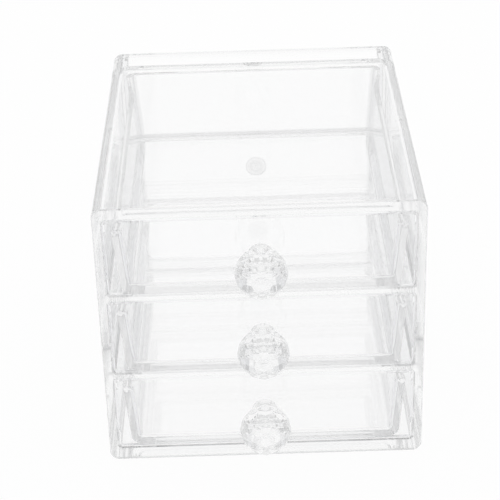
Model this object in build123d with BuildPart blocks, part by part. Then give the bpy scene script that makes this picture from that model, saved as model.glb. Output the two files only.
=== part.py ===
from build123d import *
from math import cos, radians, sin, tan
import os

# A clear moulded storage box: a cabinet shell with two shelves, three drawers and three crystal-cut knobs.
# Millimetres, +Z up, the drawers open towards -Y. The origin is the middle of the base.

# Cabinet shell
cabinet_width = 100.0  # at the front opening
cabinet_depth = 117.0
cabinet_height = 91.5
side_draft = 0.35  # degrees on each side, narrowing towards the back
side_wall = 3.0
top_wall = 3.8
base_wall = 4.9
back_wall = 3.0
back_recess = 9.3  # the back wall lies this far inside the rear rim
shelf_thickness = 2.1
long_edge_radius = 3.0  # outer edges that run from front to back
rear_edge_radius = 1.5  # outer edges of the rear rim
edge_break = 0.4  # chamfer on front edges and inside the rear rim
compartment_corner_radius = 3.0  # upright back corners of a compartment, and the recess's corners
core_break = 0.8  # chamfer round a compartment's floor and ceiling

# Gate mark in the middle of the back wall
gate_diameter = 7.6
gate_depth = 0.6
gate_nub_diameter = 2.0
gate_nub_height = 0.4

# Drawers
tiers = ("bottom", "middle", "top")
panel_thickness = 3.0
panel_gap = 0.4  # beside and above the front panel
panel_corner_radius = 1.2
slide_gap = 0.25  # under a drawer
stop_gap = 0.3  # behind a closed drawer
tray_side_gap = 2.2  # between the tray's rim and the cabinet wall
tray_wall = 1.8
tray_floor = 1.5
tray_draft = 5.0  # degrees, the tray's walls lean outward to the rim
tray_radius = 2.8  # outer edges of the tray
pocket_radius = 2.0  # inner edges of the tray
side_rim_drop = 7.5  # the side walls end this far below the panel's top edge
back_rim_drop = 0.8  # and the back wall this far
rim_sweep_radius = 5.0  # the rim of a side wall sweeps up to the panel and the back wall in this radius

# Knobs
facet_radius = 7.5  # from the ball's centre to its facets
table_distance = 7.1  # from the ball's centre to the flat front facet
facet_count = 10
facet_rings = (32.0, 60.0, 88.0, 116.0, 144.0)  # degrees from the ball's front pole
ball_standoff = 11.0  # from the drawer front to the ball's centre
ball_back = 6.6  # from the ball's centre to its flat back
neck_diameter = 6.4
neck_seat_diameter = 8.0
peg_diameter = 4.0
glue_film = 0.05  # round the peg and under the neck
peg_recess = 0.2  # the peg ends this far inside the panel

# Derived places
tier_count = len(tiers)
compartment_height = (cabinet_height - top_wall - base_wall - shelf_thickness * (tier_count - 1)) / tier_count
tier_pitch = compartment_height + shelf_thickness
floor_levels = [base_wall + tier * tier_pitch for tier in range(tier_count)]
front = -cabinet_depth / 2
back = cabinet_depth / 2
side_angle = 90 - side_draft
side_lean = tan(radians(side_draft))
compartment_depth = cabinet_depth - back_recess - back_wall
opening_width = cabinet_width - 2 * side_wall
recess_width = opening_width - 2 * cabinet_depth * side_lean
recess_height = cabinet_height - base_wall - top_wall
panel_width = opening_width - 2 * panel_gap
panel_height = compartment_height - slide_gap - panel_gap
panel_back = front + panel_thickness
side_rim_height = panel_height - side_rim_drop
back_rim_height = panel_height - back_rim_drop
tray_width = opening_width - 2 * tray_side_gap
tray_back = front + compartment_depth - stop_gap
side_rim_length = tray_back - tray_wall - pocket_radius - panel_back
wall_lean = tan(radians(tray_draft))
knob_height = panel_height / 2


def cut_leaning_walls(inset):
    """Cut the block in hand to the tray's leaning side and back walls, moved in by a wall."""
    for side in (-1, 1):
        side_place = (side * (tray_width / 2 - inset), front, back_rim_height)
        split(bisect_by=Plane(side_place, z_dir=(side, side_lean, -wall_lean)), keep=Keep.BOTTOM)
    back_place = (0, tray_back - inset, back_rim_height)
    split(bisect_by=Plane(back_place, z_dir=(0, 1, -wall_lean)), keep=Keep.BOTTOM)


# Compartment core: the hollow that one drawer slides in
with BuildPart() as compartment:
    with BuildSketch() as compartment_plan:
        with Locations((0, front)):
            Trapezoid(opening_width, compartment_depth, side_angle, align=(Align.CENTER, Align.MIN))
        fillet(compartment_plan.vertices().group_by(Axis.Y)[-1], compartment_corner_radius)
    extrude(amount=compartment_height)
    mouth_edges = compartment.faces().sort_by(Axis.Y)[0].edges()
    floor_and_ceiling = compartment.faces().filter_by(Axis.Z)
    chamfer(floor_and_ceiling.edges() - mouth_edges, core_break)

# Cabinet: outer block, compartments, recessed back with its gate mark
with BuildPart() as cabinet:
    with BuildSketch():
        Trapezoid(cabinet_width, cabinet_depth, side_angle)
    extrude(amount=cabinet_height)
    fillet(cabinet.edges().filter_by(lambda edge: abs((edge % 0.5).Y) > cos(radians(45))), long_edge_radius)
    fillet(cabinet.faces().sort_by(Axis.Y)[-1].edges(), rear_edge_radius)

    for level in floor_levels:
        with Locations((0, 0, level)):
            add(compartment.part, mode=Mode.SUBTRACT)
    chamfer(cabinet.faces().sort_by(Axis.Y)[0].edges(), edge_break)

    with BuildSketch(Plane.ZX.offset(back)):
        with Locations((base_wall + recess_height / 2, 0)):
            RectangleRounded(recess_height, recess_width, compartment_corner_radius)
    extrude(amount=-back_recess, mode=Mode.SUBTRACT)
    chamfer(cabinet.faces().sort_by(Axis.Y)[-1].inner_wires().edges(), edge_break)

    with BuildSketch(Plane.ZX.offset(back - back_recess)):
        with Locations((cabinet_height / 2, 0)):
            Circle(gate_diameter / 2)
            Circle(gate_nub_diameter / 2, mode=Mode.SUBTRACT)
    extrude(amount=-gate_depth, mode=Mode.SUBTRACT)
    with BuildSketch(Plane.ZX.offset(back - back_recess)):
        with Locations((cabinet_height / 2, 0)):
            Circle(gate_nub_diameter / 2)
    extrude(amount=-(gate_depth - gate_nub_height), mode=Mode.SUBTRACT)

# Pocket: the hollow inside one tray, on the level of the tray's underside
with BuildPart() as pocket:
    with Locations((0, panel_back, tray_floor)):
        Box(cabinet_width, cabinet_depth, panel_height, align=(Align.CENTER, Align.MIN, Align.MIN))
    cut_leaning_walls(tray_wall)
    fillet(pocket.edges() - pocket.faces().sort_by(Axis.Z)[-1].edges(), pocket_radius)

# Drawer: tray and front panel in one moulding, on the level of its underside
with BuildPart() as drawer:
    with Locations((0, front + panel_thickness / 2, 0)):
        Box(cabinet_width, cabinet_depth, panel_height, align=(Align.CENTER, Align.MIN, Align.MIN))
    cut_leaning_walls(0)
    tray_ends = drawer.faces().sort_by(Axis.Y)[0].edges() + drawer.faces().sort_by(Axis.Z)[-1].edges()
    fillet(drawer.edges() - tray_ends, tray_radius)
    add(pocket.part, mode=Mode.SUBTRACT)

    # The side walls are lower than the panel and the back wall, and sweep up to both
    with BuildSketch(Plane.YZ) as rim_cut:
        with Locations((panel_back, side_rim_height)):
            Rectangle(side_rim_length, 2 * side_rim_drop, align=(Align.MIN, Align.MIN))
        fillet(rim_cut.vertices().group_by(Axis.Y)[0], rim_sweep_radius)
        with Locations((panel_back, back_rim_height)):
            Rectangle(cabinet_depth, 2 * side_rim_drop, align=(Align.MIN, Align.MIN))
    extrude(amount=cabinet_width, both=True, mode=Mode.SUBTRACT)

    with BuildSketch(Plane.XZ.offset(-front)):
        with Locations((0, panel_height / 2)):
            RectangleRounded(panel_width, panel_height, panel_corner_radius)
    extrude(amount=-panel_thickness)
    chamfer(drawer.faces().sort_by(Axis.Y)[0].edges(), edge_break)

    with Locations(Plane((0, front, knob_height), x_dir=(1, 0, 0), z_dir=(0, -1, 0))):
        Hole(peg_diameter / 2 + glue_film, depth=panel_thickness)

# Knob: a ball cut with rings of flat facets, on a flared neck with a peg, on the level of the drawer's underside
with BuildPart() as knob:
    ball_centre = Vector(0, front - ball_standoff, knob_height)
    with Locations(ball_centre):
        Sphere(2 * facet_radius)
    cuts = [(table_distance, Vector(0, -1, 0)), (ball_back, Vector(0, 1, 0))]
    for ring, polar in enumerate(facet_rings):
        for index in range(facet_count):
            turn = radians(360 / facet_count * (index + ring % 2 / 2))
            outward = sin(radians(polar))
            cuts.append((facet_radius, Vector(outward * sin(turn), -cos(radians(polar)), outward * cos(turn))))
    for distance, normal in cuts:
        split(bisect_by=Plane(ball_centre + normal * distance, z_dir=normal), keep=Keep.BOTTOM)

    neck_end = front - (ball_standoff - ball_back)
    seat = front - glue_film
    neck_middle = (seat + neck_end) / 2
    peg_end = panel_back - peg_recess
    with BuildSketch(Plane.XY.offset(knob_height)):
        with BuildLine():
            Polyline(
                (0, neck_end),
                (neck_diameter / 2, neck_end),
                (neck_diameter / 2, neck_middle),
                (neck_seat_diameter / 2, seat),
                (peg_diameter / 2, seat),
                (peg_diameter / 2, peg_end),
                (0, peg_end),
                close=True,
            )
        make_face()
    revolve(axis=Axis((0, 0, knob_height), (0, 1, 0)))

# Write each piece in its place
os.makedirs("parts", exist_ok=True)
cabinet.part.label = "cabinet"
export_step(cabinet.part, "parts/cabinet.step")

for tier, level in zip(tiers, floor_levels):
    for kind, master in (("drawer", drawer), ("knob", knob)):
        with BuildPart() as placed:
            with Locations((0, 0, level + slide_gap)):
                add(master.part)
        placed.part.label = f"{kind}_{tier}"
        export_step(placed.part, f"parts/{kind}_{tier}.step")
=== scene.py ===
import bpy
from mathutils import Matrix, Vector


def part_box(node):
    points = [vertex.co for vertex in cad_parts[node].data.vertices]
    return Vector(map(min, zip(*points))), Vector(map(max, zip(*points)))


bl_info = {
    "name": "Clear storage box",
    "version": (1, 0, 0),
    "blender": (4, 5, 0),
    "location": "3D View > Sidebar > Storage box",
    "description": "Finishes a clear three-drawer storage box and sets it in a pale studio",
    "category": "Object",
}

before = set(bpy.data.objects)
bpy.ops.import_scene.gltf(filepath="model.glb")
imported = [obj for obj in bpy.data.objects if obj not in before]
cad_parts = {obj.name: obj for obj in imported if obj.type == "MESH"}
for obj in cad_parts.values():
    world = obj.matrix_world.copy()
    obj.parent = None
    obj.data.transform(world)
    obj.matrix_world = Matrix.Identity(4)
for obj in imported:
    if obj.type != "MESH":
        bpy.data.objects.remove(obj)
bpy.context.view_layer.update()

import math

import bpy
from bpy.props import FloatProperty, FloatVectorProperty, PointerProperty
from bpy.types import NodeSocket, Operator, Panel, PropertyGroup
from mathutils import Matrix, Vector

TIERS = ("bottom", "middle", "top")
shell_low, shell_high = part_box("cabinet")

# How far the melt's clouds and ripples are drawn out along x, y and z: a low number is a long stretch
SHELL_FLOW = (1.0, 0.25, 1.0)
DRAWER_FLOW = (0.35, 1.0, 1.0)
KNOB_FLOW = (1.0, 1.0, 1.0)
SMEARS_TO_CLOUDS = 2.5  # the hazy smears are this many times finer than the clouds
SMEAR_LIMITS = (0.5, 0.8)  # the part of the smears' noise over which the surface turns dull

# How far a surface has to face along an axis, from 0 to 1
SIDEWAYS_LIMITS = (0.8, 0.98)  # from here to here it counts as facing sideways
ROUNDED_LIMITS = (0.985, 0.93)  # from here to here it counts as a rounded or bevelled edge
UNDERSIDE_LIMIT = 0.9  # a surface that faces up or down by more than this isn't part of the scuffed foot

# Places on the box, in metres
GATE_REACH = 0.012  # the gate mark lies less than this in front of the rear rim
GATE_SOFT_RIM = 0.0002
GATE_RING_LOW = 0.6  # share of the frost that is left between two rings
# The foot's painted shade fades out together with the scuffing.
FOOT_FADE = 0.5  # the scuffing fades out over the upper part of the foot, from this share of its height
PANEL_THICKNESS = 0.003
PANEL_FADE = 0.001
SEAT_GAP = 0.0001  # the glued end of a knob's neck lies less than this in front of the drawer
FLOOR_GAP = 0.0002

# Directions in the room, each number along an axis from -1 to 1
REAR_NARROWING = 0.9  # how fast the rear wall of light ends to the left and right
REAR_LIMITS = (-0.2, 0.45)
SIDE_LIMITS = (0.45, 0.8)
OVERHEAD_LIMITS = (0.5, 0.8)
LIGHT_BOUNCES = 256  # light crosses many clear walls, and runs along inside them

# Camera
PICTURE_SIDE = 500  # pixels
SENSOR_WIDTH = 36.0  # millimetres
FOCAL_PIXELS = 1690.0
AIM_DROP = 0.0032  # the front edge that the camera is set by lies this far below the top, in metres
NEAREST_SEEN = 0.01  # metres

# Sockets of a Mix node that blends colours
MIX_FIRST = 6
MIX_SECOND = 7
MIX_RESULT = 2


# Finishes and studio, as a user would change them


class ClearPlastic:
    """The settings that every clear moulding has."""

    tint: FloatVectorProperty(
        name="Tint",
        description="Colour of the plastic where it is cleanest",
        subtype="COLOR",
        min=0,
        max=1,
        default=(1.0, 1.0, 1.0),
    )
    cloud_tint: FloatVectorProperty(
        name="Cloud tint",
        description="Colour of the faint clouds that the melt leaves in the plastic",
        subtype="COLOR",
        min=0,
        max=1,
        default=(0.995, 0.9955, 0.9962),
    )
    # Painted shade: surfaces that face sideways are darkened, standing in for the light that is lost
    # where it crosses many walls at a grazing angle.
    side_shade_tint: FloatVectorProperty(
        name="Side tint",
        description="Colour of the surfaces that face sideways, which the mould leaves less clean",
        subtype="COLOR",
        min=0,
        max=1,
        default=(0.908, 0.912, 0.92),
    )
    # Painted shade: rounded and bevelled edges are darkened, standing in for the darker room that they
    # refract.
    edge_shade_tint: FloatVectorProperty(
        name="Edge tint",
        description="Colour of rounded and bevelled edges, which are polished less than flat walls",
        subtype="COLOR",
        min=0,
        max=1,
        default=(0.865, 0.8665, 0.8695),
    )
    side_haze: FloatProperty(
        name="Side haze",
        description="Roughness of the surfaces that face sideways",
        subtype="FACTOR",
        min=0,
        max=1,
        default=0.06,
    )
    cloud_size: FloatProperty(
        name="Cloud size",
        description="Size of the melt's clouds, which the hazy smears follow",
        unit="LENGTH",
        min=0.001,
        default=0.022,
    )
    refraction: FloatProperty(
        name="Refractive index",
        description="How strongly the plastic bends light",
        min=1,
        max=2.5,
        default=1.58,
    )
    polish: FloatProperty(
        name="Polish",
        description="Roughness of the polished surface",
        subtype="FACTOR",
        min=0,
        max=1,
        default=0.0,
    )
    haze: FloatProperty(
        name="Haze",
        description="Roughness of the surface where handling has dulled it",
        subtype="FACTOR",
        min=0,
        max=1,
        default=0.025,
    )
    ripple_size: FloatProperty(
        name="Ripple size",
        description="Width of the flow ripples that the mould leaves on flat walls",
        unit="LENGTH",
        min=0.001,
        default=0.009,
    )
    ripple_depth: FloatProperty(
        name="Ripple depth",
        description="Depth of the flow ripples",
        unit="LENGTH",
        min=0,
        default=0.000012,
    )
    deep_tint: FloatVectorProperty(
        name="Deep tint",
        description="Colour that shows where light has gone a long way inside the plastic",
        subtype="COLOR",
        min=0,
        max=1,
        default=(0.758, 0.76, 0.764),
    )
    deep_density: FloatProperty(
        name="Deep density",
        description="How fast the deep tint builds up, for each metre inside the plastic",
        min=0,
        default=1.5,
    )


class FrostedPatch:
    """The settings of a moulding with a patch that isn't polished; on the shell's foot its colour is
    painted shade.
    """

    # Colours the frosted gate mark and the knob's peg, and on the shell's foot darkens it as painted
    # shade.
    frost_and_shade_tint: FloatVectorProperty(
        name="Frost tint",
        description="Colour of the frosted patch",
        subtype="COLOR",
        min=0,
        max=1,
        default=(0.6, 0.6, 0.603),
    )
    frost_haze: FloatProperty(
        name="Frost haze",
        description="Roughness of the frosted patch",
        subtype="FACTOR",
        min=0,
        max=1,
        default=0.35,
    )


class ShellFinish(ClearPlastic, FrostedPatch, PropertyGroup):
    """Finish of the cabinet shell, with its frosted gate mark, and its scuffed foot painted darker as
    shade.
    """

    gate_diameter: FloatProperty(
        name="Gate diameter",
        description="Width of the round gate mark on the back wall",
        unit="LENGTH",
        min=0,
        default=0.0076,
    )
    gate_rings: FloatProperty(
        name="Gate rings",
        description="Distance between the turned rings on the gate mark",
        unit="LENGTH",
        min=0.0001,
        default=0.0019,
    )
    foot_height: FloatProperty(
        name="Foot height",
        description="How high the scuffed edge reaches that the box stands on",
        unit="LENGTH",
        min=0,
        default=0.0013,
    )
    # How much of the frost haze and frost colour the foot gets; the colour is painted shade where the
    # box stands on the floor.
    foot_wear_and_shade: FloatProperty(
        name="Foot wear",
        description="How strongly the edge is scuffed that the box stands on",
        subtype="FACTOR",
        min=0,
        max=1,
        default=0.7,
    )


class DrawerFinish(ClearPlastic, PropertyGroup):
    """Finish of the three drawers."""

    # Painted shade on the tray's rounded edges, darker than on the shell.
    edge_shade_tint: FloatVectorProperty(
        name="Edge tint",
        description="Colour of the tray's rounded edges, which are polished less than its flat walls",
        subtype="COLOR",
        min=0,
        max=1,
        default=(0.83, 0.8315, 0.8345),
    )
    # Share of the painted edge shade that the front panel's edges get.
    panel_edge_shade: FloatProperty(
        name="Panel edges",
        description="How much of the edge tint the front panel's edges have, which are polished more",
        subtype="FACTOR",
        min=0,
        max=1,
        default=0.2,
    )


class KnobFinish(ClearPlastic, FrostedPatch, PropertyGroup):
    """Finish of the three cut knobs, whose facets are all polished alike, with their glued pegs, and
    greyed all over as painted shade.
    """

    # Painted shade: the knob is made greyer than clear plastic, standing in for the shadowed floor and
    # drawers that show through it.
    tint: FloatVectorProperty(
        name="Tint",
        description="Colour of the knob where it is cleanest",
        subtype="COLOR",
        min=0,
        max=1,
        default=(0.966, 0.966, 0.967),
    )
    # The clouds are greyer still, as part of the same painted shade.
    cloud_tint: FloatVectorProperty(
        name="Cloud tint",
        description="Colour of the faint clouds in the knob",
        subtype="COLOR",
        min=0,
        max=1,
        default=(0.95, 0.951, 0.953),
    )
    # Painted shade on the facets that face sideways; white, so the knobs get none.
    side_shade_tint: FloatVectorProperty(
        name="Side tint",
        description="Colour of the facets that face sideways",
        subtype="COLOR",
        min=0,
        max=1,
        default=(1.0, 1.0, 1.0),
    )
    # Painted shade on the slanting facets; white, so the knobs get none.
    edge_shade_tint: FloatVectorProperty(
        name="Edge tint",
        description="Colour of the slanting facets",
        subtype="COLOR",
        min=0,
        max=1,
        default=(1.0, 1.0, 1.0),
    )
    side_haze: FloatProperty(
        name="Side haze",
        description="Roughness of the facets that face sideways",
        subtype="FACTOR",
        min=0,
        max=1,
        default=0.0,
    )
    frost_and_shade_tint: FloatVectorProperty(
        name="Frost tint",
        description="Colour of the glued peg",
        subtype="COLOR",
        min=0,
        max=1,
        default=(1.0, 1.0, 1.0),
    )
    frost_haze: FloatProperty(
        name="Frost haze",
        description="Roughness of the glued peg",
        subtype="FACTOR",
        min=0,
        max=1,
        default=0.05,
    )


class Studio(PropertyGroup):
    """Floor, light and camera."""

    floor_colour: FloatVectorProperty(
        name="Floor colour",
        description="Colour of the floor",
        subtype="COLOR",
        min=0,
        max=1,
        default=(0.9, 0.9, 0.9),
    )
    floor_side: FloatProperty(
        name="Floor side",
        description="Length of the floor's sides",
        unit="LENGTH",
        min=1,
        default=12.0,
    )
    floor_lift: FloatProperty(
        name="Floor lift",
        description="How far the floor is lifted to plain white, which leaves only a light shadow",
        subtype="FACTOR",
        min=0,
        max=1,
        default=0.97,
    )
    floor_lift_through: FloatProperty(
        name="Floor lift through plastic",
        description="How far the floor is lifted where it shows through the plastic or in its gloss",
        subtype="FACTOR",
        min=0,
        max=1,
        default=0.95,
    )
    top_light: FloatProperty(
        name="Top light",
        description="Brightness of the soft light overhead",
        min=0,
        default=0.92,
    )
    rear_light: FloatProperty(
        name="Rear light",
        description="Brightness of the white wall of light behind the box",
        min=0,
        default=1.0,
    )
    front_light: FloatProperty(
        name="Front light",
        description="Brightness of the room on the camera's side and beside the box",
        min=0,
        default=0.74,
    )
    front_tint: FloatVectorProperty(
        name="Front tint",
        description="Colour of the room on the camera's side and beside the box",
        subtype="COLOR",
        min=0,
        max=1,
        default=(0.998, 0.999, 1.0),
    )
    side_light: FloatProperty(
        name="Side light",
        description="Brightness of the room far to the left and right of the box",
        min=0,
        default=0.55,
    )
    focal_length: FloatProperty(
        name="Focal length",
        description="Focal length of the camera",
        unit="CAMERA",
        min=1,
        default=FOCAL_PIXELS / PICTURE_SIDE * SENSOR_WIDTH,
    )
    elevation: FloatProperty(
        name="Elevation",
        description="Angle of the camera above the floor",
        subtype="ANGLE",
        default=math.radians(29.85),
    )
    roll: FloatProperty(
        name="Roll",
        description="Turn of the camera about its line of sight",
        subtype="ANGLE",
        default=math.radians(1.8),
    )
    distance: FloatProperty(
        name="Distance",
        description="Distance from the camera to the front edge of the box's top",
        unit="LENGTH",
        min=0.05,
        default=0.5005,
    )
    frame_offset: FloatVectorProperty(
        name="Frame offset",
        description="Where the front edge of the box's top lies from the picture's middle, in pixels",
        size=2,
        default=(10.5, 35.2),
    )


# Nodes


def add_node(tree, kind, inputs=None, **settings):
    """Add a node with its settings, and link or set its inputs."""
    made = tree.nodes.new(kind)
    for name, value in settings.items():
        setattr(made, name, value)
    for name, value in (inputs or {}).items():
        if isinstance(value, NodeSocket):
            tree.links.new(value, made.inputs[name])
        else:
            made.inputs[name].default_value = value
    return made


def start_tree(owner):
    """Give a material or world an empty node tree."""
    owner.use_nodes = True
    owner.node_tree.nodes.clear()
    return owner.node_tree


def compute(tree, operation, first, second=0.0):
    """Join two values by a sum, product, maximum or other plain operation, or change one."""
    return add_node(tree, "ShaderNodeMath", {0: first, 1: second}, operation=operation).outputs[0]


def ramp(tree, value, limits, results=(0.0, 1.0), smooth=False):
    """Take a value from its limits to the results, and hold it there beyond them."""
    made = add_node(
        tree,
        "ShaderNodeMapRange",
        {
            "Value": value,
            "From Min": limits[0],
            "From Max": limits[1],
            "To Min": results[0],
            "To Max": results[1],
        },
        interpolation_type="SMOOTHSTEP" if smooth else "LINEAR",
    )
    return made.outputs["Result"]


def mix_colours(tree, share, first, second):
    """Blend from one colour to another. A colour is three numbers or another node's output."""
    first, second = (
        colour if isinstance(colour, NodeSocket) else (*colour, 1.0) for colour in (first, second)
    )
    made = add_node(
        tree, "ShaderNodeMix", {"Factor": share, MIX_FIRST: first, MIX_SECOND: second}, data_type="RGBA"
    )
    return made.outputs[MIX_RESULT]


def split_axes(tree, vector):
    """The x, y and z of a place or direction."""
    return add_node(tree, "ShaderNodeSeparateXYZ", {0: vector}).outputs


def cloud_noise(tree, place, scale, detail, roughness):
    """Soft noise from 0 to 1."""
    made = add_node(
        tree,
        "ShaderNodeTexNoise",
        {"Vector": place, "Scale": scale, "Detail": detail, "Roughness": roughness},
    )
    return made.outputs[0]


# Patches of the pieces: each is 1 where the patch is, and 0 elsewhere


def gate_patch(tree, place, finish):
    """The ringed gate mark in the middle of the back wall."""
    back_middle = Vector((0, shell_high.y, (shell_low.z + shell_high.z) / 2))
    from_gate = add_node(tree, "ShaderNodeVectorMath", {0: place, 1: back_middle}, operation="SUBTRACT")
    across = add_node(
        tree, "ShaderNodeVectorMath", {0: from_gate.outputs[0], 1: (1, 0, 1)}, operation="MULTIPLY"
    )
    length = add_node(tree, "ShaderNodeVectorMath", {0: across.outputs[0]}, operation="LENGTH")
    radius = length.outputs["Value"]
    rim = finish.gate_diameter / 2
    disc = ramp(tree, radius, (rim, rim - GATE_SOFT_RIM))
    wave = compute(tree, "COSINE", compute(tree, "MULTIPLY", radius, 2 * math.pi / finish.gate_rings))
    rings = ramp(tree, wave, (-1.0, 1.0), (GATE_RING_LOW, 1.0))
    depth = split_axes(tree, from_gate.outputs[0])["Y"]
    at_back = compute(tree, "GREATER_THAN", depth, -GATE_REACH)
    return compute(tree, "MULTIPLY", compute(tree, "MULTIPLY", disc, rings), at_back)


def foot_patch(tree, place, finish):
    """The lowest edge of the outer walls, without the underside: scuffed, and painted darker as the
    shade where the box stands on the floor.
    """
    height = split_axes(tree, place)["Z"]
    foot_top = shell_low.z + finish.foot_height
    foot_middle = shell_low.z + finish.foot_height * FOOT_FADE
    # This share is scuffing haze and painted shade at once, strongest at the bottom.
    scuffed = ramp(tree, height, (foot_top, foot_middle), (0.0, finish.foot_wear_and_shade))
    facing = split_axes(tree, add_node(tree, "ShaderNodeTexCoord").outputs["Normal"])
    level = compute(tree, "ABSOLUTE", facing["Z"])
    return compute(tree, "MULTIPLY", scuffed, compute(tree, "LESS_THAN", level, UNDERSIDE_LIMIT))


def shell_patches(tree, place, finish):
    """The gate mark, and the foot of the shell, which is scuffed and painted darker as shade."""
    return compute(tree, "MAXIMUM", foot_patch(tree, place, finish), gate_patch(tree, place, finish))


def seat_patch(tree, place, finish):
    """A knob's glued peg and the end of its neck."""
    return compute(tree, "GREATER_THAN", split_axes(tree, place)["Y"], shell_low.y - SEAT_GAP)


def tray_shade_patch(tree, place, finish):
    """Where a drawer gets the painted edge shade: all of it on the tray, and a lesser share on its front
    panel.
    """
    panel_back = shell_low.y + PANEL_THICKNESS
    return ramp(
        tree,
        split_axes(tree, place)["Y"],
        (panel_back, panel_back + PANEL_FADE),
        (finish.panel_edge_shade, 1.0),
    )


# Materials


def clear_plastic(name, finish, flow, frost_and_shade_patch=None, edge_shade_patch=None):
    """Polished clear plastic with faint clouds, hazy smears and flow ripples, with painted shade that
    darkens the surfaces facing sideways and the rounded edges.
    """
    material = bpy.data.materials.new(name)
    tree = start_tree(material)
    surface = add_node(tree, "ShaderNodeTexCoord").outputs
    place = surface["Object"]
    along_flow = add_node(tree, "ShaderNodeMapping", {"Vector": place, "Scale": flow}).outputs[0]
    facing = split_axes(tree, surface["Normal"])
    facing_x, facing_y, facing_z = (compute(tree, "ABSOLUTE", facing[axis]) for axis in "XYZ")

    clouds = cloud_noise(tree, along_flow, 1 / finish.cloud_size, detail=3.0, roughness=0.55)
    colour = mix_colours(tree, clouds, finish.tint, finish.cloud_tint)
    # Painted shade: surfaces that face sideways are darkened with the side shade tint, and also made
    # rougher.
    sideways = ramp(tree, facing_x, SIDEWAYS_LIMITS)
    colour = mix_colours(tree, sideways, colour, finish.side_shade_tint)
    # Painted shade: rounded and bevelled edges are darkened with the edge shade tint; on the drawers the
    # tray's shade patch sets how much.
    squarest = compute(tree, "MAXIMUM", compute(tree, "MAXIMUM", facing_x, facing_y), facing_z)
    rounded = ramp(tree, squarest, ROUNDED_LIMITS)
    if edge_shade_patch:
        rounded = compute(tree, "MULTIPLY", rounded, edge_shade_patch(tree, place, finish))
    colour = mix_colours(tree, rounded, colour, finish.edge_shade_tint)

    smears = cloud_noise(tree, place, SMEARS_TO_CLOUDS / finish.cloud_size, detail=5.0, roughness=0.65)
    dullness = ramp(tree, smears, SMEAR_LIMITS, (finish.polish, finish.haze))
    side_dullness = compute(tree, "MULTIPLY", sideways, finish.side_haze)
    dullness = compute(tree, "MAXIMUM", dullness, side_dullness)
    if frost_and_shade_patch:
        frosted = frost_and_shade_patch(tree, place, finish)
        frosted_dullness = compute(tree, "MULTIPLY", frosted, finish.frost_haze)
        dullness = compute(tree, "MAXIMUM", dullness, frosted_dullness)
        # The patch's colour: the gate mark and the knob's peg, and painted shade on the shell's foot.
        colour = mix_colours(tree, frosted, colour, finish.frost_and_shade_tint)

    ripples = cloud_noise(tree, along_flow, 1 / finish.ripple_size, detail=1.0, roughness=0.4)
    bump = add_node(
        tree,
        "ShaderNodeBump",
        {"Strength": 1.0, "Distance": finish.ripple_depth, "Height": ripples},
    )

    plastic = add_node(
        tree,
        "ShaderNodeBsdfPrincipled",
        {
            "Base Color": colour,
            "Roughness": dullness,
            "Normal": bump.outputs[0],
            "IOR": finish.refraction,
            "Transmission Weight": 1.0,
        },
    )
    inside = add_node(
        tree,
        "ShaderNodeVolumeAbsorption",
        {"Color": (*finish.deep_tint, 1), "Density": finish.deep_density},
    )
    add_node(
        tree,
        "ShaderNodeOutputMaterial",
        {"Surface": plastic.outputs[0], "Volume": inside.outputs[0]},
    )
    return material


def pale_floor(studio):
    """Pale paint that reads as nearly white to the camera and through the plastic."""
    material = bpy.data.materials.new("pale_floor")
    tree = start_tree(material)
    path = add_node(tree, "ShaderNodeLightPath").outputs
    direct = compute(tree, "MULTIPLY", path["Is Camera Ray"], studio.floor_lift)
    through = compute(tree, "MAXIMUM", path["Is Glossy Ray"], path["Is Transmission Ray"])
    through = compute(tree, "MULTIPLY", through, studio.floor_lift_through)
    lifted = compute(tree, "MAXIMUM", direct, through)
    paint = add_node(tree, "ShaderNodeBsdfDiffuse", {"Color": (*studio.floor_colour, 1)})
    white = add_node(tree, "ShaderNodeEmission", {"Color": (1, 1, 1, 1), "Strength": 1.0})
    both = add_node(tree, "ShaderNodeMixShader", {0: lifted, 1: paint.outputs[0], 2: white.outputs[0]})
    add_node(tree, "ShaderNodeOutputMaterial", {"Surface": both.outputs[0]})
    return material


def finish_nodes(names, material):
    """Give these CAD nodes the material."""
    for name in names:
        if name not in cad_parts:
            raise RuntimeError(f"the frame has no node {name}")
        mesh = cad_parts[name].data
        mesh.materials.clear()
        mesh.materials.append(material)


# Stage


def lay_floor(scene, studio):
    """A pale floor that keeps the box's shadow."""
    half = studio.floor_side / 2
    under = shell_low.z - FLOOR_GAP
    mesh = bpy.data.meshes.new("floor")
    mesh.from_pydata(
        [(-half, -half, under), (half, -half, under), (half, half, under), (-half, half, under)],
        [],
        [(0, 1, 2, 3)],
    )
    mesh.materials.append(pale_floor(studio))
    floor = bpy.data.objects.new("floor", mesh)
    scene.collection.objects.link(floor)


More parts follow.
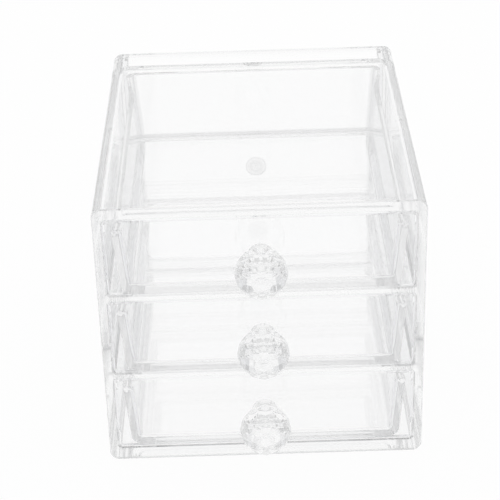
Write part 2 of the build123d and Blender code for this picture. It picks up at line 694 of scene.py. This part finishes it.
def light_studio(scene, studio):
    """A soft white wall of light behind the box, and a dimmer room on the other sides."""
    world = bpy.data.worlds.new("studio")
    scene.world = world
    tree = start_tree(world)
    direction = split_axes(tree, add_node(tree, "ShaderNodeTexCoord").outputs["Generated"])
    aside = compute(tree, "ABSOLUTE", direction["X"])
    narrowed = compute(tree, "MULTIPLY", aside, -REAR_NARROWING)
    towards_rear = compute(tree, "ADD", direction["Y"], narrowed)

    front = [studio.front_light * channel for channel in studio.front_tint]
    sides = [studio.side_light * channel for channel in studio.front_tint]
    rear = [studio.rear_light] * 3
    top = [studio.top_light] * 3
    colour = mix_colours(tree, ramp(tree, towards_rear, REAR_LIMITS, smooth=True), front, rear)
    colour = mix_colours(tree, ramp(tree, aside, SIDE_LIMITS, smooth=True), colour, sides)
    colour = mix_colours(tree, ramp(tree, direction["Z"], OVERHEAD_LIMITS, smooth=True), colour, top)
    light = add_node(tree, "ShaderNodeBackground", {"Color": colour, "Strength": 1.0})
    add_node(tree, "ShaderNodeOutputWorld", {"Surface": light.outputs[0]})

    scene.view_settings.view_transform = "Standard"
    scene.cycles.max_bounces = LIGHT_BOUNCES
    scene.cycles.transmission_bounces = LIGHT_BOUNCES
    scene.cycles.glossy_bounces = LIGHT_BOUNCES


def place_camera(scene, studio):
    """Look at the box from the front and above, as far off the picture's middle as the offset says."""
    forward = Vector((0, math.cos(studio.elevation), -math.sin(studio.elevation)))
    up = Vector((0, math.sin(studio.elevation), math.cos(studio.elevation)))
    right = Vector((1, 0, 0))
    pixel = studio.distance * SENSOR_WIDTH / (studio.focal_length * PICTURE_SIDE)
    front_edge = Vector((0, shell_low.y, shell_high.z - AIM_DROP))
    place = front_edge - forward * studio.distance
    place -= right * studio.frame_offset[0] * pixel + up * studio.frame_offset[1] * pixel
    turned_up = up * math.cos(studio.roll) + right * math.sin(studio.roll)
    turned_right = right * math.cos(studio.roll) - up * math.sin(studio.roll)
    turn = Matrix((turned_right, turned_up, -forward)).transposed()

    lens = bpy.data.cameras.new("camera")
    lens.sensor_width = SENSOR_WIDTH
    lens.lens = studio.focal_length
    lens.clip_start = NEAREST_SEEN
    camera = bpy.data.objects.new("camera", lens)
    camera.matrix_world = Matrix.Translation(place) @ turn.to_4x4()
    scene.collection.objects.link(camera)
    scene.camera = camera


# Operators


class STORAGEBOX_OT_finish_shell(Operator):
    """Finish the cabinet shell in clear plastic, with a frosted gate mark and a scuffed foot that is
    painted darker as shade
    """

    bl_idname = "storage_box.finish_shell"
    bl_label = "Finish the shell"
    bl_options = {"REGISTER", "UNDO"}

    def execute(self, context):
        finish = context.scene.box_shell
        material = clear_plastic("clear_shell_plastic", finish, SHELL_FLOW, frost_and_shade_patch=shell_patches)
        finish_nodes(["cabinet"], material)
        return {"FINISHED"}


class STORAGEBOX_OT_finish_drawers(Operator):
    """Finish the three drawers in clear plastic"""

    bl_idname = "storage_box.finish_drawers"
    bl_label = "Finish the drawers"
    bl_options = {"REGISTER", "UNDO"}

    def execute(self, context):
        finish = context.scene.box_drawers
        material = clear_plastic("clear_drawer_plastic", finish, DRAWER_FLOW, edge_shade_patch=tray_shade_patch)
        finish_nodes([f"drawer_{tier}" for tier in TIERS], material)
        return {"FINISHED"}


class STORAGEBOX_OT_finish_knobs(Operator):
    """Finish the three knobs in clear plastic that is cut like crystal"""

    bl_idname = "storage_box.finish_knobs"
    bl_label = "Finish the knobs"
    bl_options = {"REGISTER", "UNDO"}

    def execute(self, context):
        finish = context.scene.box_knobs
        material = clear_plastic("cut_knob_plastic", finish, KNOB_FLOW, frost_and_shade_patch=seat_patch)
        finish_nodes([f"knob_{tier}" for tier in TIERS], material)
        return {"FINISHED"}


class STORAGEBOX_OT_set_stage(Operator):
    """Lay the pale floor, light the studio and place the camera"""

    bl_idname = "storage_box.set_stage"
    bl_label = "Set the stage"
    bl_options = {"REGISTER", "UNDO"}

    def execute(self, context):
        studio = context.scene.box_studio
        lay_floor(context.scene, studio)
        light_studio(context.scene, studio)
        place_camera(context.scene, studio)
        return {"FINISHED"}


# Panel and registration


class STORAGEBOX_PT_sidebar(Panel):
    """The box's finishes and studio in the sidebar"""

    bl_idname = "STORAGEBOX_PT_sidebar"
    bl_label = "Storage box"
    bl_space_type = "VIEW_3D"
    bl_region_type = "UI"
    bl_category = "Storage box"

    def draw(self, context):
        rows = (
            (STORAGEBOX_OT_finish_shell, context.scene.box_shell),
            (STORAGEBOX_OT_finish_drawers, context.scene.box_drawers),
            (STORAGEBOX_OT_finish_knobs, context.scene.box_knobs),
            (STORAGEBOX_OT_set_stage, context.scene.box_studio),
        )
        for operator, settings in rows:
            group = self.layout.box()
            for name in settings.bl_rna.properties.keys():
                if name not in {"rna_type", "name"}:
                    group.prop(settings, name)
            group.operator(operator.bl_idname)


CLASSES = (
    ShellFinish,
    DrawerFinish,
    KnobFinish,
    Studio,
    STORAGEBOX_OT_finish_shell,
    STORAGEBOX_OT_finish_drawers,
    STORAGEBOX_OT_finish_knobs,
    STORAGEBOX_OT_set_stage,
    STORAGEBOX_PT_sidebar,
)

SETTINGS = {
    "box_shell": ShellFinish,
    "box_drawers": DrawerFinish,
    "box_knobs": KnobFinish,
    "box_studio": Studio,
}


def register():
    for kind in CLASSES:
        bpy.utils.register_class(kind)
    for name, kind in SETTINGS.items():
        setattr(bpy.types.Scene, name, PointerProperty(type=kind))


def unregister():
    for name in SETTINGS:
        delattr(bpy.types.Scene, name)
    for kind in reversed(CLASSES):
        bpy.utils.unregister_class(kind)


def main():
    register()
    bpy.ops.storage_box.finish_shell()
    bpy.ops.storage_box.finish_drawers()
    bpy.ops.storage_box.finish_knobs()
    bpy.ops.storage_box.set_stage()


if __name__ == "__main__":
    main()
